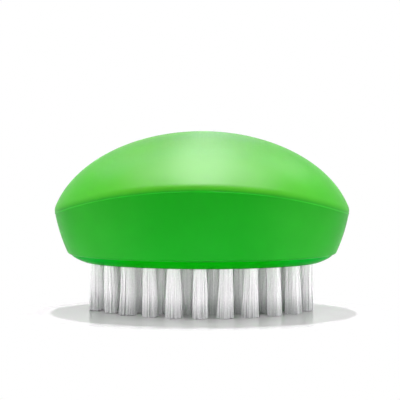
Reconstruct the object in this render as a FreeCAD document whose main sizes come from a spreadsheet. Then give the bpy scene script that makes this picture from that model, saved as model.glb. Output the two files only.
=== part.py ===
import FreeCAD, Part

# A palm-held vegetable brush, in millimetres. It stands on its bristle tips at Z 0, with its length along X,
# its width along Y and its origin under its middle. A soft grip is moulded over a hollow hard core. The core
# is closed from below by a brush block, whose blind holes hold the tufts of nylon filament. Each tuft is
# folded over a small flat wire anchor, which bites into the wall of its hole.

import math
import os

from FreeCAD import Vector

# The driving dimensions: alias, value, what it is
SIZES = [
    ("grip_length", 90.2, "grip along its crease, before the crease is rounded"),
    ("grip_width", 62.2, "grip across its crease, before the crease is rounded"),
    ("grip_height", 37.4, "from the seat on the block to the top of the dome"),
    ("crease_end_height", 13.6, "crease above the seat, at the two ends"),
    ("crease_side_height", 22.2, "crease above the seat, at the middle of the sides"),
    ("dome_level", 6.4, "middle plane of the dome's ellipsoid above the seat"),
    ("side_level", 21.9, "middle plane of the sides' ellipsoid above the seat"),
    ("side_depth", 49.0, "vertical half axis of the sides' ellipsoid"),
    ("crease_radius", 4.0, "rounding where the dome rolls over into the sides"),
    ("lip_radius", 1.0, "rounding of the grip's lower edge"),
    ("grip_wall", 2.5, "thickness of the soft grip"),
    ("core_wall", 2.0, "thickness of the hard core"),
    ("rim_height", 2.4, "height of the block's visible rim, below the seat"),
    ("rim_reach", 2.3, "how far the rim stands out past the core, under the grip"),
    ("rim_level", 0.8, "height of the rim's widest plane above the seat"),
    ("rim_depth", 7.0, "vertical half axis of the rim's bulging side"),
    ("rim_radius", 1.2, "rounding of the block's lower edge"),
    ("plug_clearance", 0.15, "gap between the block's plug and the core's mouth"),
    ("block_floor", 2.0, "material that closes the tuft holes"),
    ("post_spacing_x", 40.0, "distance between the core's posts, along the length"),
    ("post_spacing_y", 18.0, "distance between the core's posts, across the width"),
    ("post_radius", 3.2, "outside of a post"),
    ("pin_radius", 1.6, "pin on the block that a post is pressed on"),
    ("pin_height", 6.0, "height of a pin above the plug"),
    ("pin_clearance", 0.05, "radial gap between a pin and its post"),
    ("bore_relief", 0.5, "room above a pin in its post"),
    ("tuft_length", 15.2, "free length of the bristles"),
    ("tuft_tip_radius", 2.6, "a tuft at its tips"),
    ("tuft_mouth_radius", 2.1, "a tuft where it leaves the block"),
    ("groove_depth", 0.4, "grooves between the locks of filament round a tuft, at its tips"),
    ("tuft_hole_depth", 6.5, "depth of a tuft hole"),
    ("tuft_clearance", 0.05, "radial gap between a tuft and its hole"),
    ("anchor_length", 4.6, "anchor wire, across the tuft"),
    ("anchor_thickness", 0.4, "anchor wire"),
    ("anchor_height", 1.6, "anchor wire, along the tuft"),
    ("fold_depth", 0.9, "filament folded between an anchor and the hole's end"),
    ("overrun", 5.0, "how far a cutting tool reaches past what it cuts"),
]

# How many locks of filament show round a tuft
LOCK_COUNT = 12

# The pattern of tufts: how many stand in each ring and in the centre row, and how far each reaches along and
# across the block's plug
OUTER_RING_COUNT = 20
MIDDLE_RING_COUNT = 14
CENTRE_ROW_COUNT = 5
OUTER_RING_SHARES = (0.895, 0.826)
MIDDLE_RING_SHARES = (0.713, 0.413)
CENTRE_ROW_SHARE = 0.414

# Levels and insets, as formulas of the sheet's cells
BLOCK_FACE = "sizes.tuft_length"
SEAT = "(sizes.tuft_length + sizes.rim_height)"
HOLE_END = "(sizes.tuft_length + sizes.tuft_hole_depth)"
PLUG_TOP = "(sizes.tuft_length + sizes.tuft_hole_depth + sizes.block_floor)"
OUTSIDE = "0"
CORE_INSET = "sizes.grip_wall"
CAVITY_INSET = "(sizes.grip_wall + sizes.core_wall)"
DOME_RISE = "(sizes.grip_height - sizes.dome_level)"
ROOT_RADIUS = (
    "(sizes.tuft_mouth_radius - (sizes.tuft_tip_radius - sizes.tuft_mouth_radius)"
    " * sizes.tuft_hole_depth / sizes.tuft_length)"
)

doc = FreeCAD.newDocument("vegetable_brush")


def make_sheet():
    """The spreadsheet of driving dimensions."""
    made = doc.addObject("Spreadsheet::Sheet", "sizes")
    for row, (alias, value, meaning) in enumerate(SIZES, 1):
        made.set(f"A{row}", meaning)
        made.set(f"B{row}", str(value))
        made.setAlias(f"B{row}", alias)
    doc.recompute()
    return made


sheet = make_sheet()


def value_of(formula):
    """The number that a formula of the sheet's cells comes to."""
    return float(sheet.evalExpression(formula))


def add(kind, name, links=None, **formulas):
    """A new object with its links set and its sizes bound to formulas. Dots in a path are written as __."""
    made = doc.addObject(kind, name)
    for prop, target in (links or {}).items():
        setattr(made, prop, target)
    for prop, formula in formulas.items():
        made.setExpression(prop.replace("__", "."), formula)
    return made


def cut(name, base, tool):
    return add("Part::Cut", name, {"Base": base, "Tool": tool})


def group(name, members):
    return add("Part::Compound", name, {"Links": members})


def half_axis(size, height, level, depth):
    """Half axis of an ellipsoid that measures size at that height, with its middle at that level."""
    return f"({size} / 2 / sqrt(1 - (({height} - {level}) / {depth})^2))"


# Half axes, along and across, of the two ellipsoids that meet at the grip's crease
CREASE = {
    "length": ("sizes.grip_length", "sizes.crease_end_height"),
    "width": ("sizes.grip_width", "sizes.crease_side_height"),
}
DOME_HALF = {a: half_axis(*CREASE[a], "sizes.dome_level", DOME_RISE) for a in CREASE}
SIDE_HALF = {a: half_axis(*CREASE[a], "sizes.side_level", "sizes.side_depth") for a in CREASE}


def mouth_half(axis, inset):
    """Half the length or width of the sides' outline on the seat, that far inside the grip's outer face."""
    return f"(({SIDE_HALF[axis]} - {inset}) * sqrt(1 - (sizes.side_level / (sizes.side_depth - {inset}))^2))"


# Outlines on the seat plane that the block and the tufts follow
PLUG_HALF = {a: f"({mouth_half(a, CAVITY_INSET)} - sizes.plug_clearance)" for a in CREASE}
RIM_HALF = {a: f"({mouth_half(a, CORE_INSET)} + sizes.rim_reach)" for a in CREASE}


def ellipsoid(name, half_length, half_width, half_height, level):
    """A whole ellipsoid with its middle on the Z axis at that level."""
    made = add(
        "Part::Ellipsoid",
        name,
        Radius1=half_height,
        Radius2=half_length,
        Radius3=half_width,
        Placement__Base__z=level,
    )
    made.Angle1, made.Angle2, made.Angle3 = -90, 90, 360
    return made


def space(name, bottom, top):
    """A box wider than the brush, between two levels."""
    half_x = "(sizes.grip_length / 2 + sizes.overrun)"
    half_y = "(sizes.grip_width / 2 + sizes.overrun)"
    return add(
        "Part::Box",
        name,
        Length=f"2 * {half_x}",
        Width=f"2 * {half_y}",
        Height=f"{top} - {bottom}",
        Placement__Base__x=f"-{half_x}",
        Placement__Base__y=f"-{half_y}",
        Placement__Base__z=bottom,
    )


def grip_form(name, inset):
    """The domed form on the seat, that far inside the grip's outer face: where dome and sides overlap."""
    dome = ellipsoid(
        name + "_dome",
        f"{DOME_HALF['length']} - {inset}",
        f"{DOME_HALF['width']} - {inset}",
        f"{DOME_RISE} - {inset}",
        f"{SEAT} + sizes.dome_level",
    )
    sides = ellipsoid(
        name + "_sides",
        f"{SIDE_HALF['length']} - {inset}",
        f"{SIDE_HALF['width']} - {inset}",
        f"sizes.side_depth - {inset}",
        f"{SEAT} + sizes.side_level",
    )
    above = space(name + "_space", SEAT, f"({SEAT} + sizes.grip_height + sizes.overrun)")
    return add("Part::MultiCommon", name, {"Shapes": [dome, sides, above]})


def closed_edges(shape):
    """(index, edge) of a form's long closed edges, the lowest first. Seams and poles aren't among them."""
    least = value_of("sizes.grip_width")
    found = [(n, e) for n, e in enumerate(shape.Edges, 1) if e.isClosed() and e.Length > least]
    return sorted(found, key=lambda pair: pair[1].BoundBox.ZMin)


def rounded(name, base, radii):
    """base with its long closed edges rounded, from the lowest up; None leaves an edge sharp."""
    doc.recompute()
    edges = closed_edges(base.Shape)
    made = add("Part::Fillet", name, {"Base": base})
    made.Edges = [(n, r, r) for (n, _), r in zip(edges, radii) if r]
    return made


def make_grip(core_outside):
    """The soft grip: one moulding, domed above its rolled crease, open below, as thick as the core leaves it."""
    outside = grip_form("grip_outside", OUTSIDE)
    smooth = rounded(
        "grip_rounded", outside, [value_of("sizes.lip_radius"), value_of("sizes.crease_radius")]
    )
    return cut("soft_grip", smooth, core_outside)


def corner_places():
    """The four places of the posts and their pins, as formulas of X and Y."""
    return [
        (f"{x} * sizes.post_spacing_x / 2", f"{y} * sizes.post_spacing_y / 2")
        for x in (-1, 1)
        for y in (-1, 1)
    ]


def cylinders(name, radius, height, bottom):
    """Four upright cylinders at the corner places."""
    made = [
        add(
            "Part::Cylinder",
            f"{name}_{n}",
            Radius=radius,
            Height=height,
            Placement__Base__x=x,
            Placement__Base__y=y,
            Placement__Base__z=bottom,
        )
        for n, (x, y) in enumerate(corner_places(), 1)
    ]
    return group(name, made)


def make_core(core_outside):
    """The hard hollow core, with four posts that hang from its roof and stand on the block."""
    walls = cut("core_walls", core_outside, grip_form("core_cavity", CAVITY_INSET))
    reach = f"{SEAT} + sizes.grip_height - {PLUG_TOP}"
    bars = cylinders("post_bars", "sizes.post_radius", reach, PLUG_TOP)
    posts = add("Part::MultiCommon", "posts", {"Shapes": [bars, core_outside]})
    joined = add("Part::MultiFuse", "core_with_posts", {"Shapes": [walls, posts]})
    bores = cylinders(
        "post_bores",
        "sizes.pin_radius + sizes.pin_clearance",
        "sizes.pin_height + sizes.bore_relief",
        PLUG_TOP,
    )
    return cut("core_shell", joined, bores)


def ring_points(count, along, across):
    """Points of a lens-shaped ring: two equal arcs between its ends, with half the points evenly spaced on each."""
    half = count // 2
    arcs = [Part.Arc(side * along, side * across, -side * along).toShape() for side in (1, -1)]
    return [p for arc in arcs for p in arc.discretize(Number=half + 1)[:half]]


def tuft_places():
    """(name, X, Y) of each tuft: two lens-shaped rings, and a row along the middle."""
    plug_x, plug_y = (value_of(PLUG_HALF[axis]) for axis in ("length", "width"))
    places = []
    for ring, count, (share_x, share_y) in (
        ("outer", OUTER_RING_COUNT, OUTER_RING_SHARES),
        ("middle", MIDDLE_RING_COUNT, MIDDLE_RING_SHARES),
    ):
        points = ring_points(count, Vector(plug_x * share_x, 0, 0), Vector(0, plug_y * share_y, 0))
        places += [(f"{ring}_{n:02d}", p.x, p.y) for n, p in enumerate(points, 1)]
    reach = plug_x * CENTRE_ROW_SHARE
    steps = CENTRE_ROW_COUNT - 1
    places += [(f"centre_{n + 1:02d}", reach * (2 * n / steps - 1), 0) for n in range(CENTRE_ROW_COUNT)]
    return places


def lock_outline(name, radius, groove_depth, level):
    """A tuft's outline at one level: an arc for each lock of filament, and a groove between each two."""
    turn = 2 * math.pi / LOCK_COUNT

    def at(reach, steps):
        return Vector(reach * math.cos(steps * turn), reach * math.sin(steps * turn), level)

    groove = radius - groove_depth
    arcs = [
        Part.Arc(at(groove, n - 0.5), at(radius, n), at(groove, n + 0.5)).toShape() for n in range(LOCK_COUNT)
    ]
    made = doc.addObject("Part::Feature", name)
    made.Shape = Part.Wire(arcs)
    return made


def make_bundle():
    """One tuft of filament at the origin, standing on its tips and narrower towards its root."""
    tip, root, depth = (
        value_of(f) for f in ("sizes.tuft_tip_radius", ROOT_RADIUS, "sizes.groove_depth")
    )
    tips = lock_outline("tip_outline", tip, depth, 0)
    roots = lock_outline("root_outline", root, depth * root / tip, value_of(HOLE_END))
    return add("Part::Loft", "bundle", {"Sections": [tips, roots], "Solid": True, "Ruled": True})


def make_tuft(master, name, x, y):
    """(tuft, its anchor, the tool for its hole) at one place of the pattern."""
    bundle = add("App::Link", f"bundle_{name}", {"LinkedObject": master})
    hole = add(
        "Part::Cone",
        f"hole_{name}",
        Radius1="sizes.tuft_tip_radius + sizes.tuft_clearance",
        Radius2=f"{ROOT_RADIUS} + sizes.tuft_clearance",
        Height=HOLE_END,
    )
    anchor = add(
        "Part::Box",
        f"anchor_{name}",
        Length="sizes.anchor_length",
        Width="sizes.anchor_thickness",
        Height="sizes.anchor_height",
        Placement__Base__z=f"{HOLE_END} - sizes.fold_depth - sizes.anchor_height",
    )
    bundle.Placement.Base = Vector(x, y, 0)
    hole.Placement.Base = Vector(x, y, 0)
    anchor.setExpression("Placement.Base.x", f"{x} - sizes.anchor_length / 2")
    anchor.setExpression("Placement.Base.y", f"{y} - sizes.anchor_thickness / 2")
    return cut(f"tuft_{name}", bundle, anchor), anchor, hole


def make_block(holes, anchors):
    """The brush block: a bulging rim under the grip, a plug in the core's mouth, pins for the posts, tuft holes."""
    bulge = ellipsoid(
        "rim_bulge", RIM_HALF["length"], RIM_HALF["width"], "sizes.rim_depth", f"{SEAT} + sizes.rim_level"
    )
    rim = add(
        "Part::MultiCommon", "rim", {"Shapes": [bulge, space("rim_space", BLOCK_FACE, SEAT)]}
    )
    smooth = rounded("rim_rounded", rim, [value_of("sizes.rim_radius"), None])
    outline = add(
        "Part::Ellipse",
        "plug_outline",
        MajorRadius=PLUG_HALF["length"],
        MinorRadius=PLUG_HALF["width"],
        Placement__Base__z=SEAT,
    )
    plug = add(
        "Part::Extrusion",
        "plug",
        {"Base": outline, "DirMode": "Custom", "Dir": Vector(0, 0, 1), "Solid": True},
        LengthFwd=f"{PLUG_TOP} - {SEAT}",
    )
    pins = cylinders("pins", "sizes.pin_radius", "sizes.pin_height", PLUG_TOP)
    solid = add("Part::MultiFuse", "block_solid", {"Shapes": [smooth, plug, pins]})
    drilled = cut("block_drilled", solid, group("tuft_holes", holes))
    return cut("brush_block", drilled, anchors)


def make_parts():
    """Every sub-part, in the order in which the brush is put together."""
    core_outside = grip_form("core_outside", CORE_INSET)
    bundle = make_bundle()
    made = [make_tuft(bundle, *place) for place in tuft_places()]
    tufts, anchors, holes = (list(column) for column in zip(*made))
    tuft_anchors = group("tuft_anchors", anchors)
    block = make_block(holes, tuft_anchors)
    return [make_grip(core_outside), make_core(core_outside), block, tuft_anchors, *tufts]


def check(parts):
    """Stops the build if an object failed or a sub-part isn't a valid solid."""
    failed = [o.Name for o in doc.Objects if {"Invalid", "Error"} & set(o.State)]
    if failed:
        raise RuntimeError(f"these objects failed: {failed}")
    for part in parts:
        if part.Shape.isNull() or not part.Shape.isValid() or not part.Shape.Solids:
            raise RuntimeError(f"{part.Label} isn't a valid solid")


parts = make_parts()
doc.recompute()
check(parts)
os.makedirs("parts", exist_ok=True)
for part in parts:
    part.Shape.exportStep(f"parts/{part.Label}.step")
box = Part.makeCompound([part.Shape for part in parts]).optimalBoundingBox(False)
print(f"{len(parts)} sub-parts, about {box.XLength:.1f} x {box.YLength:.1f} x {box.ZLength:.1f} mm")
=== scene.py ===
"""A palm-held vegetable brush: a soft grip moulded over a hard core, a brush block and tufts of nylon."""

import math
from collections import namedtuple

import bpy
import numpy as np
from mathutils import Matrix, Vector


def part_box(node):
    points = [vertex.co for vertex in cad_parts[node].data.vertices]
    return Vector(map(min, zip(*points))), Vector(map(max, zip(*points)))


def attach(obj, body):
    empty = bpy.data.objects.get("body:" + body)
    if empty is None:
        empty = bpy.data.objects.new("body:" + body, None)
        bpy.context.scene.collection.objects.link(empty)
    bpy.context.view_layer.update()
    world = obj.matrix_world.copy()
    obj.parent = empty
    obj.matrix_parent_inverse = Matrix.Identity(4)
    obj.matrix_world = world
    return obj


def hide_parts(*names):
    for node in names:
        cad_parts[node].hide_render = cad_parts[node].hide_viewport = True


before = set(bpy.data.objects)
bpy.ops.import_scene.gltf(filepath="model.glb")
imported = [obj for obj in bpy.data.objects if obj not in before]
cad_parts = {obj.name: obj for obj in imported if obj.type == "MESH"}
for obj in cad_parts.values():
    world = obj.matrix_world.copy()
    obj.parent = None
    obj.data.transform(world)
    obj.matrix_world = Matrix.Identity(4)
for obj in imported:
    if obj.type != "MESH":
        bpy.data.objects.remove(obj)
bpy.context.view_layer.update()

MM = 0.001
WHITE = (1, 1, 1, 1)

# The grip's form, as in the part's source: a dome and tapering sides, ellipsoids that meet at a crease
GRIP_LENGTH = 90.2 * MM
GRIP_WIDTH = 62.2 * MM
CREASE_END_HEIGHT = 13.6 * MM
CREASE_SIDE_HEIGHT = 22.2 * MM
DOME_LEVEL = 6.4 * MM
SIDE_LEVEL = 21.9 * MM
SIDE_DEPTH = 49.0 * MM
CREASE_RADIUS = 4.0 * MM
LIP_RADIUS = 1.0 * MM
GRIP_WALL = 2.5 * MM

# The mould's flash line, a fine ridge along the foot of the rolled crease
FLASH_HEIGHT = 0.10 * MM
FLASH_WIDTH = 0.55 * MM

# The grip's mesh. The crown's painted lit colour fades out over the roll, by that power of the way down
COLUMNS = 320
DOME_ROWS = 48
ROLL_ROWS = 14
FLASH_ROWS = 8
SIDE_ROWS = 28
LIP_ROWS = 10
LINING_ROWS = 10
CROWN_POWER = 3
GRIP_SHARP_ANGLE = math.radians(50)

# The filaments of a tuft. Each is folded over the tuft's anchor, so it has two legs. The innermost ones
# rise over the anchor by the least share of the fold's depth
FILAMENT_RADIUS = 0.155 * MM
FILAMENT_SIDES = 7
FILAMENT_SHARP_ANGLE = math.radians(60)
LEG_STEPS = 7
FOLD_STEPS = 4
FOLD_DEPTH = 0.9 * MM
FOLD_LEAST = 0.3
ANCHOR_GAP = 0.2 * MM

# Even places for legs in a hole's mouth. Those at one side of the anchor are first legs, which the second
# legs mirror
LEG_PLACES = 136

# A tuft's radius at the block, in tip radii, and what the legs keep of it beside the anchor
MOUTH_SHARE = 0.84
ANCHOR_SHARE = 0.84

# The locks of filament round a tuft, and how deep the grooves between them are, in radii
LOCK_COUNT = 12
GROOVE_SHARE = 0.15

# What differs by chance: where tips end, how legs bow, how a whole tuft leans and flares
TIP_SPREAD = 0.12 * MM
TIP_UNEVENNESS = 0.3 * MM
BOW = 0.08 * MM
LEAN = 0.28 * MM
FLARE_SPREAD = 0.1

# The part of a noise's range that is spread over a material's values
NOISE_RANGE = (0.3, 0.7)

# The floor. Ranges are in halves of the grip's length and width, from the middle of the shadow, which lies
# in front of the object. The floor turns white over the far range, and takes a little white in the middle,
# painted light over the shadow, less of it close under the brush
FLOOR_HALF_SIZE = 4.0
# The floor's colour is a little magenta, to offset the green light that the brush bounces into its shadow
FLOOR_COLOUR = (0.94, 0.86, 0.935, 1)
SHADOW_SHIFT = 6 * MM
FAR_RANGE = (1.07, 1.25)
MIDDLE_RANGE = (0.5, 0.75)
MIDDLE_WHITE = 0.13
UNDER_RANGE = (0.6, 0.85)
UNDER_SHARE = 0.3

# The floor's polish, which mirrors only at a low angle
POLISH_IOR = 1.5
POLISH_RANGE = (0.1, 0.5)
POLISH_SHARE = 0.48
POLISH_ROUGHNESS = 0.06

# The studio's light from both sides and from behind, with the parts of a direction's X, Y and Z that it
# comes up over. It fades out upwards
SIDE_LIGHT = 3.1
SIDE_RANGE = (0.3, 0.9)
BACK_LIGHT = 1.3
BACK_RANGE = (0.1, 0.5)
LOW_RANGE = (0.6, 0.25)

# Light goes from filament to filament many times before it leaves a tuft
LIGHT_BOUNCES = 24

# The lamps: where they stand, what they point at, their sizes in metres and their watts
LAMP_TARGET = (0, 0, 0.03)
KEY_PLACE = (-0.02, 0.16, 1.0)
KEY_SIZE = 0.02
KEY_WATTS = 6.4
SOFTBOX_PLACE = (0.22, -0.35, 1.0)
SOFTBOX_SIZE = (0.9, 0.8)
SOFTBOX_WATTS = 3.2
FILL_PLACE = (0.03, -1.3, 0.14)
FILL_TARGET = (0, 0, 0.01)
FILL_SIZE = (0.7, 0.2)
FILL_WATTS = 6.5

# Cards that show only as sheen on what is glossy: degrees from the front, degrees above the floor, watts
CARD_DISTANCE = 1.5
CARD_SIZE = 0.55
CARDS = (
    (0, 55, 15),
    (0, 72, 46),
    (0, 90, 26),
    (180, 72, 18),
    (180, 55, 5.5),
    (180, 38, 2.3),
    (90, 70, 17),
    (-90, 70, 15),
    (90, 30, 2),
    (-90, 30, 2),
    (135, 50, 7),
    (-135, 50, 5),
    (50, 55, 14),
    (-50, 55, 6),
)

# The camera stands as it did for the photograph
CAMERA_DISTANCE = 519 * MM
CAMERA_HEIGHT = 67.5 * MM
CAMERA_ASIDE = -0.55 * MM
CAMERA_TURN = math.radians(1.65)
CAMERA_TILT = math.radians(3.7)
CAMERA_LENS = 153

# A row of the grip's (radius, height) points, and how much of it is crown, flash line and foot of the sides
Row = namedtuple("Row", "points crown flash foot", defaults=(0.0, 0.0, 0.0))

# What the filaments of one tuft share. lean is how far its tips stand off, flare their spread in tip radii
Tuft = namedtuple("Tuft", "tip_radius block_face anchor_top lean flare")


def link(name, mesh):
    """A new object for a mesh."""
    made = bpy.data.objects.new(name, mesh)
    bpy.context.collection.objects.link(made)
    return made


def smooth(mesh, sharp_angle):
    """Shades a mesh smoothly, apart from edges sharper than that angle."""
    mesh.polygons.foreach_set("use_smooth", np.ones(len(mesh.polygons), dtype=bool))
    mesh.set_sharp_from_angle(angle=sharp_angle)


def set_values(mesh, name, values):
    """Stores a number for each point of a mesh, which its material reads by that name."""
    stored = mesh.attributes.new(name, "FLOAT", "POINT")
    stored.data.foreach_set("value", np.array(values, dtype=np.float32))


def steps(count):
    """That many even steps from 0 to 1, without the 0."""
    return np.linspace(0, 1, count + 1)[1:]


class Meridians:
    """An ellipsoid about the Z axis, cut by the upright half planes at some angles.

    A place in a half plane is a parameter, which is 0 at the ellipsoid's middle and TOP at its top."""

    TOP = math.pi / 2

    def __init__(self, half_length, half_width, half_height, level, angles):
        self.reach = 1 / np.hypot(np.cos(angles) / half_length, np.sin(angles) / half_width)
        self.rise = half_height
        self.level = level

    def point(self, t):
        """(radius, height) at a parameter."""
        return np.stack([self.reach * np.cos(t), self.level + self.rise * np.sin(t)], axis=-1)

    def speed(self, t):
        """The length that a step of the parameter makes."""
        return np.hypot(self.reach * np.sin(t), self.rise * np.cos(t))

    def upwards(self, t):
        """The unit tangent in the half plane, upwards."""
        way = np.stack([-self.reach * np.sin(t), self.rise * np.cos(t)], axis=-1)
        return way / self.speed(t)[:, None]

    def outwards(self, t):
        """The unit normal in the half plane."""
        up = self.upwards(t)
        return np.stack([up[:, 1], -up[:, 0]], axis=-1)

    def at_height(self, z):
        """The parameters at a height."""
        return np.arcsin((z - self.level) / self.rise) * np.ones_like(self.reach)


def crease_heights(dome, sides):
    """The height at which dome and sides meet, in each half plane."""
    dome_ratio = (dome.reach / dome.rise) ** 2
    side_ratio = (sides.reach / sides.rise) ** 2
    square = side_ratio - dome_ratio
    linear = 2 * (dome_ratio * dome.level - side_ratio * sides.level)
    constant = (
        dome.reach**2 - sides.reach**2 - dome_ratio * dome.level**2 + side_ratio * sides.level**2
    )
    root = np.sqrt(linear**2 - 4 * square * constant)
    return np.maximum((-linear + root) / (2 * square), (-linear - root) / (2 * square))


def half_axis(size, height, level, depth):
    """Half axis of an ellipsoid that measures size at that height, with its middle at that level."""
    return size / 2 / math.sqrt(1 - ((height - level) / depth) ** 2)


def grip_ellipsoids(inset, angles):
    """Dome and sides of the grip, that far inside its outer face."""
    lowest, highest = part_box("soft_grip")
    rise = highest.z - lowest.z - DOME_LEVEL
    dome, sides = (
        Meridians(
            half_axis(GRIP_LENGTH, CREASE_END_HEIGHT, level, depth) - inset,
            half_axis(GRIP_WIDTH, CREASE_SIDE_HEIGHT, level, depth) - inset,
            depth - inset,
            lowest.z + level,
            angles,
        )
        for level, depth in ((DOME_LEVEL, rise), (SIDE_LEVEL, SIDE_DEPTH))
    )
    return dome, sides


def cut_back(first_way, last_way, radius):
    """How far before the corner between two directions a rounding of that radius starts."""
    turned = np.arccos((first_way * last_way).sum(axis=-1))
    return radius * np.tan(turned / 2)


def rounding(first, first_way, last, last_way, radius, rows):
    """Rows of an arc that leaves one row of points and arrives at another, both tangentially."""
    angle = np.arccos(np.clip((first_way * last_way).sum(axis=-1), -1, 1))
    handle = (4 / 3 * radius * np.tan(angle / 4))[:, None]
    second = first + handle * first_way
    third = last - handle * last_way
    for s in steps(rows):
        yield (
            (1 - s) ** 3 * first
            + 3 * s * (1 - s) ** 2 * second
            + 3 * s**2 * (1 - s) * third
            + s**3 * last
        )


def outer_rows(angles, seat):
    """Rows of the grip's outer face, from under its top down to the lip's inner side."""
    dome, sides = grip_ellipsoids(0, angles)
    crease = crease_heights(dome, sides)
    on_dome = dome.at_height(crease)
    on_sides = sides.at_height(crease)
    back = cut_back(dome.upwards(on_dome), sides.upwards(on_sides), CREASE_RADIUS)
    roll_top = on_dome + back / dome.speed(on_dome)
    roll_foot = on_sides - back / sides.speed(on_sides)
    flash_span = FLASH_WIDTH / sides.speed(roll_foot)
    flash_foot = roll_foot - flash_span

    edge = sides.at_height(seat)
    inwards = np.broadcast_to([-1.0, 0.0], (len(angles), 2))
    back = cut_back(-sides.upwards(edge), inwards, LIP_RADIUS)
    lip_top = edge + back / sides.speed(edge)
    lip_end = sides.point(edge) + back[:, None] * inwards

    for s in steps(DOME_ROWS):
        yield Row(dome.point(dome.TOP + (roll_top - dome.TOP) * s), crown=1.0)
    roll = rounding(
        dome.point(roll_top),
        -dome.upwards(roll_top),
        sides.point(roll_foot),
        -sides.upwards(roll_foot),
        CREASE_RADIUS,
        ROLL_ROWS,
    )
    for s, points in zip(steps(ROLL_ROWS), roll):
        yield Row(points, crown=1 - s**CROWN_POWER)
    for s in steps(FLASH_ROWS):
        along = roll_foot - s * flash_span
        ridge = math.sin(math.pi * s) ** 2
        yield Row(sides.point(along) + ridge * FLASH_HEIGHT * sides.outwards(along), flash=ridge)
    for s in steps(SIDE_ROWS):
        yield Row(sides.point(flash_foot + (lip_top - flash_foot) * s), foot=s)
    lip = rounding(
        sides.point(lip_top),
        -sides.upwards(lip_top),
        lip_end,
        inwards,
        LIP_RADIUS,
        LIP_ROWS,
    )
    for points in lip:
        yield Row(points, foot=1.0)


def lining_rows(angles, seat):
    """Rows of the grip's inner face, from its lower edge to under its top."""
    dome, sides = grip_ellipsoids(GRIP_WALL, angles)
    crease = crease_heights(dome, sides)
    edge = sides.at_height(seat)
    on_sides = sides.at_height(crease)
    on_dome = dome.at_height(crease)
    for s in (0.0, *steps(LINING_ROWS)):
        yield Row(sides.point(edge + (on_sides - edge) * s), foot=1.0)
    for s in steps(LINING_ROWS)[:-1]:
        yield Row(dome.point(on_dome + (dome.TOP - on_dome) * s), foot=1.0)


def grip_mesh():
    """The grip as one closed mesh, of rings round the Z axis between its top and the top of its lining."""
    lowest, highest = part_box("soft_grip")
    angles = np.linspace(0, 2 * math.pi, COLUMNS, endpoint=False)
    rows = [*outer_rows(angles, lowest.z), *lining_rows(angles, lowest.z)]
    rings = []
    for row in rows:
        radius, height = row.points.T
        rings.append(np.stack([radius * np.cos(angles), radius * np.sin(angles), height], axis=-1))
    points = np.concatenate([[(0, 0, highest.z)], *rings, [(0, 0, highest.z - GRIP_WALL)]])
    points = np.clip(points, lowest, highest)

    first = 1
    end = len(points) - 1
    last = end - COLUMNS
    neighbours = [(i, (i + 1) % COLUMNS) for i in range(COLUMNS)]
    faces = [(0, first + i, first + j) for i, j in neighbours]
    for start in range(first, last, COLUMNS):
        below = start + COLUMNS
        faces += [(start + i, below + i, below + j, start + j) for i, j in neighbours]
    faces += [(end, last + j, last + i) for i, j in neighbours]

    mesh = bpy.data.meshes.new("grip")
    mesh.from_pydata(points.tolist(), [], faces)
    for name in ("crown", "flash", "foot"):
        by_row = [getattr(row, name) for row in rows]
        set_values(mesh, name, [by_row[0], *np.repeat(by_row, COLUMNS), by_row[-1]])
    smooth(mesh, GRIP_SHARP_ANGLE)
    return mesh


def filament_path(root, tuft, chance):
    """One filament's points, from one tip up a leg, over the anchor and down the other leg.

    root is the first leg's place in the mouth of the hole, as shares of its radius."""
    mouth_radius = tuft.tip_radius * MOUTH_SHARE
    legs = []
    for side in (1, -1):
        share = np.array([root[0], side * root[1]])
        mouth = share * (mouth_radius - FILAMENT_RADIUS)
        tip = share * tuft.tip_radius * tuft.flare + tuft.lean + chance.normal(0, TIP_SPREAD, 2)
        bow = chance.normal(0, BOW, 2)
        tip_height = chance.uniform(0, TIP_UNEVENNESS)
        leg = []
        for s in np.linspace(0, 1, LEG_STEPS + 1):
            x, y = tip + (mouth - tip) * s + bow * math.sin(math.pi * s)
            leg.append((x, y, tip_height + (tuft.block_face - tip_height) * s))
        beside = side * (ANCHOR_GAP + FILAMENT_RADIUS) + mouth[1] * ANCHOR_SHARE
        leg.append((mouth[0], beside, tuft.anchor_top))
        legs.append(leg)
    up, down = legs[0], legs[1][::-1]
    height = (FOLD_DEPTH - FILAMENT_RADIUS) * (FOLD_LEAST + (1 - FOLD_LEAST) * abs(root[1]))
    middle = (np.array(up[-1]) + np.array(down[0])) / 2
    half = (np.array(up[-1]) - np.array(down[0])) / 2
    over = [
        middle + half * math.cos(a) + np.array([0, 0, height * math.sin(a)])
        for a in math.pi * steps(FOLD_STEPS)[:-1]
    ]
    return np.array([*up, *over, *down])


def tube(path, radius, sides):
    """Rings of points round a path that never runs along X."""
    way = np.gradient(path, axis=0)
    way /= np.linalg.norm(way, axis=1)[:, None]
    across = np.array([1.0, 0, 0]) - way[:, :1] * way
    across /= np.linalg.norm(across, axis=1)[:, None]
    third = np.cross(way, across)
    turn = np.linspace(0, 2 * math.pi, sides, endpoint=False)[None, :, None]
    return path[:, None] + radius * (np.cos(turn) * across[:, None] + np.sin(turn) * third[:, None])


def tube_faces(start, rings, sides):
    """Faces of a closed tube, whose points are numbered from start."""
    faces = []
    for row in range(rings - 1):
        here = start + row * sides
        there = here + sides
        for i in range(sides):
            j = (i + 1) % sides
            faces.append((here + i, here + j, there + j, there + i))
    end = start + (rings - 1) * sides
    faces.append(tuple(range(start, start + sides))[::-1])
    faces.append(tuple(range(end, end + sides)))
    return faces


def tuft_roots():
    """Places of the first legs in half of a hole's mouth, as shares of its radius.

    They are evenly spread over an outline that is grooved between the locks of filament."""
    golden_angle = math.pi * (3 - math.sqrt(5))
    roots = []
    for i in range(LEG_PLACES):
        angle = i * golden_angle
        groove = GROOVE_SHARE * (1 - abs(math.cos(angle * LOCK_COUNT / 2)))
        reach = math.sqrt((i + 0.5) / LEG_PLACES) * (1 - groove)
        roots.append((reach * math.cos(angle), reach * math.sin(angle)))
    return [root for root in roots if root[1] > 0]


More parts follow.
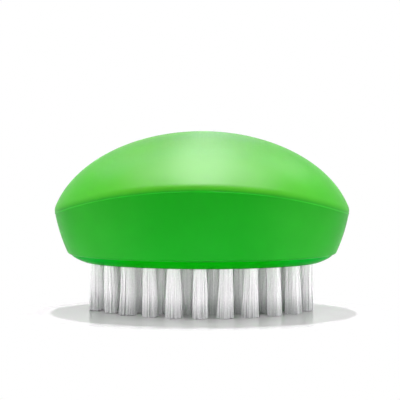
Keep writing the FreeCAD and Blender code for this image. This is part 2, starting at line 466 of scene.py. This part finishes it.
def tuft_mesh(node, seed):
    """The tuft of filaments that stands in the place of a CAD tuft."""
    lowest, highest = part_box(node)
    centre = np.array([(lowest.x + highest.x) / 2, (lowest.y + highest.y) / 2, 0])
    chance = np.random.default_rng(seed)
    tuft = Tuft(
        tip_radius=(highest.x - lowest.x) / 2,
        block_face=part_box("brush_block")[0].z,
        anchor_top=highest.z - FOLD_DEPTH,
        lean=chance.normal(0, LEAN, 2),
        flare=chance.uniform(1 - FLARE_SPREAD, 1 + FLARE_SPREAD),
    )
    points, faces, tones, tips = [], [], [], []
    for root in tuft_roots():
        path = filament_path(root, tuft, chance)
        rings = tube(path + centre, FILAMENT_RADIUS, FILAMENT_SIDES)
        rings[..., 2] = np.maximum(rings[..., 2], lowest.z)
        faces += tube_faces(len(points) * FILAMENT_SIDES, len(rings), FILAMENT_SIDES)
        points.extend(rings)
        tones += [chance.uniform(0, 1)] * (len(rings) * FILAMENT_SIDES)
        tips += np.clip(1 - path[:, 2] / tuft.block_face, 0, 1).repeat(FILAMENT_SIDES).tolist()
    mesh = bpy.data.meshes.new(node)
    mesh.from_pydata(np.concatenate(points).tolist(), [], faces)
    set_values(mesh, "tone", tones)
    set_values(mesh, "tip", tips)
    smooth(mesh, FILAMENT_SHARP_ANGLE)
    return mesh


def feed(tree, socket, value):
    """Sets a socket to a value, or links another socket to it."""
    if isinstance(value, bpy.types.NodeSocket):
        tree.links.new(value, socket)
    else:
        socket.default_value = value


def add_node(tree, kind, settings=None, **inputs):
    """A node with its settings, and its inputs fed by name. _ in a name is a space."""
    made = tree.nodes.new(kind)
    for name, value in (settings or {}).items():
        setattr(made, name, value)
    for name, value in inputs.items():
        feed(tree, made.inputs[name.replace("_", " ")], value)
    return made


def calculation(tree, kind, operation, *values):
    """A node that calculates with sockets or values."""
    made = add_node(tree, kind, {"operation": operation})
    for socket, value in zip(made.inputs, values):
        feed(tree, socket, value)
    return made


def compute(tree, operation, *values):
    """What a calculation with numbers gives."""
    return calculation(tree, "ShaderNodeMath", operation, *values).outputs["Value"]


def ramp(tree, value, start, end, low=0.0, high=1.0, eased=False):
    """Goes from low to high while a value goes from start to end, and stays there outside."""
    return add_node(
        tree,
        "ShaderNodeMapRange",
        {"interpolation_type": "SMOOTHSTEP" if eased else "LINEAR"},
        Value=value,
        From_Min=start,
        From_Max=end,
        To_Min=low,
        To_Max=high,
    ).outputs["Result"]


def blend(tree, factor, low, high):
    """A number between two, by a factor of 0 to 1."""
    made = add_node(tree, "ShaderNodeMix", {"data_type": "FLOAT"})
    for index, value in ((0, factor), (2, low), (3, high)):
        feed(tree, made.inputs[index], value)
    return made.outputs[0]


def blend_colours(tree, factor, low, high):
    """A colour between two, by a factor of 0 to 1. Each is a socket, or red, green and blue."""
    made = add_node(tree, "ShaderNodeMix", {"data_type": "RGBA"})
    feed(tree, made.inputs[0], factor)
    for index, value in ((6, low), (7, high)):
        feed(tree, made.inputs[index], (*value, 1) if isinstance(value, tuple) else value)
    return made.outputs[2]


def blend_shaders(tree, factor, first, second):
    """A surface between two, by a factor of 0 to 1."""
    made = add_node(tree, "ShaderNodeMixShader", Fac=factor)
    feed(tree, made.inputs[1], first)
    feed(tree, made.inputs[2], second)
    return made.outputs["Shader"]


def new_material(name):
    """(material, its node tree, its main shader)"""
    made = bpy.data.materials.new(name)
    made.use_nodes = True
    return made, made.node_tree, made.node_tree.nodes["Principled BSDF"]


def attribute(tree, name):
    """The number that the mesh stores by that name."""
    return add_node(tree, "ShaderNodeAttribute", {"attribute_name": name}).outputs["Fac"]


def object_place(tree):
    """Where a point is in the shared frame."""
    return add_node(tree, "ShaderNodeTexCoord").outputs["Object"]


def noise(tree, size, detail=2.0):
    """The factor of a noise whose grains are about that long, in metres."""
    made = add_node(tree, "ShaderNodeTexNoise", Vector=object_place(tree), Scale=1 / size, Detail=detail)
    return made.outputs["Fac"]


def clouds(tree, size):
    """Soft clouds of that size, from 0 to 1."""
    return ramp(tree, noise(tree, size), *NOISE_RANGE)


def towards_ends(tree, start, end):
    """Grows from 0 to 1 towards both ends, between two distances from the middle in grip lengths."""
    along = add_node(tree, "ShaderNodeSeparateXYZ", Vector=object_place(tree)).outputs["X"]
    distance = compute(tree, "ABSOLUTE", along)
    return ramp(tree, distance, start * GRIP_LENGTH, end * GRIP_LENGTH, eased=True)


def colour(tree, shader, value):
    """Gives a material its colour."""
    feed(tree, shader.inputs["Base Color"], value)


def roughen(tree, shader, grain, low, high):
    """Gives a material a roughness that varies in grains of that size."""
    varied = ramp(tree, noise(tree, grain), *NOISE_RANGE, low, high)
    feed(tree, shader.inputs["Roughness"], varied)


def emboss(tree, shader, grain, detail, depth, strength):
    """Gives a material a relief of grains of that size."""
    height = noise(tree, grain, detail)
    made = add_node(tree, "ShaderNodeBump", Height=height, Distance=depth, Strength=strength)
    feed(tree, shader.inputs["Normal"], made.outputs["Normal"])


def soft_touch_rubber():
    """Green satin elastomer in lit and shaded copies: a painted lit top, yellower, its middle painted
    darker; sides paler at their ends and foot as painted sheen and bounce light; a lighter flash line as a
    painted highlight.
    """
    made, tree, shader = new_material("soft_touch_rubber")
    ends = towards_ends(tree, start=0.1, end=0.45)
    cloud = clouds(tree, size=14 * MM)

    # The sides, painted darker than the top; towards the ends paler, a painted sheen of the side light
    painted_shade_side_middle = blend_colours(tree, cloud, (0.001, 0.265, 0.002), (0.002, 0.279, 0.003))
    painted_sheen_side_ends = blend_colours(tree, cloud, (0.014, 0.320, 0.010), (0.018, 0.335, 0.013))
    # The foot of the sides, painted paler as light bounced up from the floor
    painted_bounce_foot_middle = blend_colours(tree, cloud, (0.004, 0.327, 0.008), (0.006, 0.341, 0.011))
    painted_bounce_foot_ends = blend_colours(tree, cloud, (0.020, 0.368, 0.018), (0.024, 0.384, 0.022))
    # The top, painted lighter and yellower as lit from above, its middle painted darker against the
    # overhead light
    painted_lit_top_middle = blend_colours(tree, cloud, (0.064, 0.387, 0.009), (0.074, 0.403, 0.012))
    painted_lit_top_ends = blend_colours(tree, cloud, (0.046, 0.438, 0.010), (0.054, 0.455, 0.013))

    side = blend_colours(tree, ends, painted_shade_side_middle, painted_sheen_side_ends)
    foot = blend_colours(tree, ends, painted_bounce_foot_middle, painted_bounce_foot_ends)
    top = blend_colours(tree, ends, painted_lit_top_middle, painted_lit_top_ends)
    # The flash line, painted lighter as a highlight on its ridge
    line = blend_colours(tree, ends, (0.004, 0.36, 0.005), (0.03, 0.47, 0.02))
    lower = blend_colours(tree, attribute(tree, "foot"), side, foot)
    body = blend_colours(tree, attribute(tree, "crown"), lower, top)
    colour(tree, shader, blend_colours(tree, attribute(tree, "flash"), body, line))

    roughen(tree, shader, grain=1.2 * MM, low=0.36, high=0.42)
    emboss(tree, shader, grain=0.35 * MM, detail=3.0, depth=0.02 * MM, strength=0.25)
    shader.inputs["Specular IOR Level"].default_value = 0.12
    return made


def block_plastic():
    """Green moulded plastic, duller than the grip, bluer and lighter at its ends as a painted sheen of the
    side light.
    """
    made, tree, shader = new_material("block_plastic")
    cloud = clouds(tree, size=9 * MM)
    middle = blend_colours(tree, cloud, (0.001, 0.35, 0.002), (0.002, 0.38, 0.004))
    # Towards the ends the colour is painted lighter and bluer: a painted sheen of the side light
    tip = blend_colours(tree, cloud, (0.001, 0.375, 0.024), (0.002, 0.405, 0.030))
    colour(tree, shader, blend_colours(tree, towards_ends(tree, start=0.2, end=0.42), middle, tip))
    roughen(tree, shader, grain=0.8 * MM, low=0.30, high=0.38)
    emboss(tree, shader, grain=0.25 * MM, detail=2.0, depth=0.01 * MM, strength=0.15)
    shader.inputs["Specular IOR Level"].default_value = 0.01
    return made


def core_plastic():
    """Leaf-green polypropylene of the hidden core."""
    made, tree, shader = new_material("core_plastic")
    cloud = clouds(tree, size=8 * MM)
    colour(tree, shader, blend_colours(tree, cloud, (0.02, 0.31, 0.04), (0.04, 0.37, 0.06)))
    roughen(tree, shader, grain=1.0 * MM, low=0.42, high=0.52)
    return made


def anchor_steel():
    """Drawn steel wire of the anchors."""
    made, tree, shader = new_material("anchor_steel")
    cloud = clouds(tree, size=0.6 * MM)
    colour(tree, shader, blend_colours(tree, cloud, (0.48, 0.47, 0.45), (0.60, 0.59, 0.57)))
    roughen(tree, shader, grain=0.2 * MM, low=0.25, high=0.4)
    shader.inputs["Metallic"].default_value = 1.0
    return made


def nylon():
    """Milky nylon, tinted a little magenta against the green light bounced from the block, greyer towards
    the tips as painted shade near the floor. No two filaments are quite the same.
    """
    made, tree, shader = new_material("nylon")
    tone = attribute(tree, "tone")
    # The tips are painted greyer: painted shade near the floor
    painted_tip_shade = ramp(tree, attribute(tree, "tip"), start=0.54, end=1.0, eased=True)
    # A little magenta, to offset the green light bounced from the block into the tufts
    unshaded_nylon = blend_colours(tree, tone, (0.91, 0.89, 0.91), (1.0, 0.98, 1.0))
    shaded_nylon = blend_colours(tree, tone, (0.48, 0.48, 0.49), (0.68, 0.68, 0.69))
    colour(tree, shader, blend_colours(tree, painted_tip_shade, unshaded_nylon, shaded_nylon))
    roughen(tree, shader, grain=0.5 * MM, low=0.22, high=0.30)
    shader.inputs["IOR"].default_value = 1.53
    return made


def dress(node, material):
    """Gives a CAD node its finish."""
    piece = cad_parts[node]
    piece.data.materials.clear()
    piece.data.materials.append(material)


def stand_in(piece, node, material):
    """Puts a new piece in the place of a CAD node."""
    piece.data.materials.append(material)
    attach(piece, "root")
    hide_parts(node)


def make_object():
    """The brush: new pieces for the grip and the tufts, and a finish for the nodes that stay."""
    stand_in(link("grip_moulding", grip_mesh()), "soft_grip", soft_touch_rubber())
    dress("brush_block", block_plastic())
    dress("core_shell", core_plastic())
    dress("tuft_anchors", anchor_steel())
    filament = nylon()
    tufts = sorted(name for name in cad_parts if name.startswith("tuft_") and name != "tuft_anchors")
    for seed, node in enumerate(tufts):
        piece = link(node.replace("tuft", "bristles"), tuft_mesh(node, seed))
        stand_in(piece, node, filament)


def seen_as_background(tree):
    """1 for what the camera sees, directly or in a reflection or clear piece, 0 for light on the object."""
    path = add_node(tree, "ShaderNodeLightPath").outputs
    mirrored = compute(tree, "MAXIMUM", path["Is Glossy Ray"], path["Is Transmission Ray"])
    return compute(tree, "MAXIMUM", path["Is Camera Ray"], mirrored)


def white_share(tree):
    """How much of the background's white the floor takes on."""
    position = add_node(tree, "ShaderNodeNewGeometry").outputs["Position"]
    scale = (2 / GRIP_LENGTH, 2 / GRIP_WIDTH, 0)
    shift = (0, 2 * SHADOW_SHIFT / GRIP_WIDTH, 0)
    scaled = calculation(tree, "ShaderNodeVectorMath", "MULTIPLY_ADD", position, scale, shift)
    spread = scaled.outputs["Vector"]
    reach = calculation(tree, "ShaderNodeVectorMath", "LENGTH", spread).outputs["Value"]
    along = add_node(tree, "ShaderNodeSeparateXYZ", Vector=spread).outputs["X"]
    aside = compute(tree, "ABSOLUTE", along)
    middle = ramp(tree, aside, *MIDDLE_RANGE, low=MIDDLE_WHITE, high=0.0, eased=True)
    under = ramp(tree, reach, *UNDER_RANGE, low=UNDER_SHARE, eased=True)
    far = ramp(tree, reach, *FAR_RANGE, eased=True)
    return compute(tree, "MAXIMUM", compute(tree, "MULTIPLY", middle, under), far)


def polished_white():
    """The floor's finish. Far from the object it is seen plain white; near it, it keeps the shadow."""
    made, tree, shader = new_material("floor_white")
    shader.inputs["Base Color"].default_value = FLOOR_COLOUR
    shader.inputs["Roughness"].default_value = 1.0
    shader.inputs["Specular IOR Level"].default_value = 0.0
    seen = seen_as_background(tree)
    fresnel = add_node(tree, "ShaderNodeFresnel", IOR=POLISH_IOR).outputs[0]
    polish = compute(tree, "MULTIPLY", ramp(tree, fresnel, *POLISH_RANGE, high=POLISH_SHARE), seen)
    mirror = add_node(tree, "ShaderNodeBsdfGlossy", Color=WHITE, Roughness=POLISH_ROUGHNESS)
    surface = blend_shaders(tree, polish, shader.outputs["BSDF"], mirror.outputs["BSDF"])
    white = add_node(tree, "ShaderNodeEmission", Color=WHITE, Strength=1.0).outputs["Emission"]
    share = compute(tree, "MULTIPLY", white_share(tree), seen)
    output = tree.nodes["Material Output"]
    feed(tree, output.inputs["Surface"], blend_shaders(tree, share, surface, white))
    return made


def make_floor():
    """A plain white floor."""
    half = FLOOR_HALF_SIZE
    mesh = bpy.data.meshes.new("floor")
    corners = [(-half, -half, 0), (half, -half, 0), (half, half, 0), (-half, half, 0)]
    mesh.from_pydata(corners, [], [(0, 1, 2, 3)])
    mesh.materials.append(polished_white())
    floor = link("floor", mesh)


def make_world():
    """The studio. It lights the object from low down, most at both sides, and is seen as plain white."""
    world = bpy.data.worlds.new("studio")
    bpy.context.scene.world = world
    world.use_nodes = True
    tree = world.node_tree
    way = add_node(tree, "ShaderNodeTexCoord").outputs["Generated"]
    direction = add_node(tree, "ShaderNodeSeparateXYZ", Vector=way).outputs
    aside = compute(tree, "ABSOLUTE", direction["X"])
    sides = ramp(tree, aside, *SIDE_RANGE, high=SIDE_LIGHT)
    back = ramp(tree, direction["Y"], *BACK_RANGE, high=BACK_LIGHT)
    low = ramp(tree, direction["Z"], *LOW_RANGE)
    level = compute(tree, "MULTIPLY", compute(tree, "MAXIMUM", sides, back), low)
    background = tree.nodes["Background"]
    background.inputs["Color"].default_value = WHITE
    feed(tree, background.inputs["Strength"], blend(tree, seen_as_background(tree), level, 1.0))


def add_lamp(name, location, target, **settings):
    """An area lamp that the camera doesn't see."""
    data = bpy.data.lights.new(name, "AREA")
    for key, value in settings.items():
        setattr(data, key, value)
    lamp = bpy.data.objects.new(name, data)
    lamp.location = location
    lamp.rotation_euler = (Vector(target) - Vector(location)).to_track_quat("-Z", "Y").to_euler()
    lamp.visible_camera = False
    bpy.context.collection.objects.link(lamp)
    return lamp


def add_softbox(name, location, target, size, watts):
    """A lamp with a wide rectangle of light."""
    width, height = size
    return add_lamp(name, location, target, shape="RECTANGLE", size=width, size_y=height, energy=watts)


def add_card(turn, rise, watts):
    """A card that shows only as sheen, at two angles round the object."""
    level = math.cos(rise)
    way = Vector((level * math.sin(turn), -level * math.cos(turn), math.sin(rise)))
    card = add_lamp(
        "sheen_card", CARD_DISTANCE * way, LAMP_TARGET, shape="SQUARE", size=CARD_SIZE, energy=watts
    )
    card.visible_diffuse = False
    card.visible_transmission = False
    card.data.cycles.use_multiple_importance_sampling = False


def make_lights():
    """A small lamp overhead for the shadow, a softbox above, a low fill in front and the sheen cards."""
    key = add_lamp("key", KEY_PLACE, LAMP_TARGET, shape="DISK", size=KEY_SIZE, energy=KEY_WATTS)
    softbox = add_softbox("softbox", SOFTBOX_PLACE, LAMP_TARGET, SOFTBOX_SIZE, SOFTBOX_WATTS)
    fill = add_softbox("fill", FILL_PLACE, FILL_TARGET, FILL_SIZE, FILL_WATTS)
    for lamp in (key, softbox, fill):
        lamp.visible_glossy = False
    for turn, rise, watts in CARDS:
        add_card(math.radians(turn), math.radians(rise), watts)


def make_camera():
    """The camera, turned about the object and tilted down a little."""
    data = bpy.data.cameras.new("camera")
    data.lens = CAMERA_LENS
    camera = bpy.data.objects.new("camera", data)
    across = Vector((math.cos(CAMERA_TURN), math.sin(CAMERA_TURN), 0))
    back = Vector((math.sin(CAMERA_TURN), -math.cos(CAMERA_TURN), 0))
    camera.location = CAMERA_ASIDE * across + CAMERA_DISTANCE * back + Vector((0, 0, CAMERA_HEIGHT))
    camera.rotation_euler = (math.pi / 2 - CAMERA_TILT, 0, CAMERA_TURN)
    bpy.context.collection.objects.link(camera)
    bpy.context.scene.camera = camera


make_object()
make_floor()
make_world()
make_lights()
make_camera()
bpy.context.scene.view_settings.view_transform = "Standard"
bpy.context.scene.cycles.max_bounces = LIGHT_BOUNCES
bpy.context.scene.cycles.diffuse_bounces = LIGHT_BOUNCES
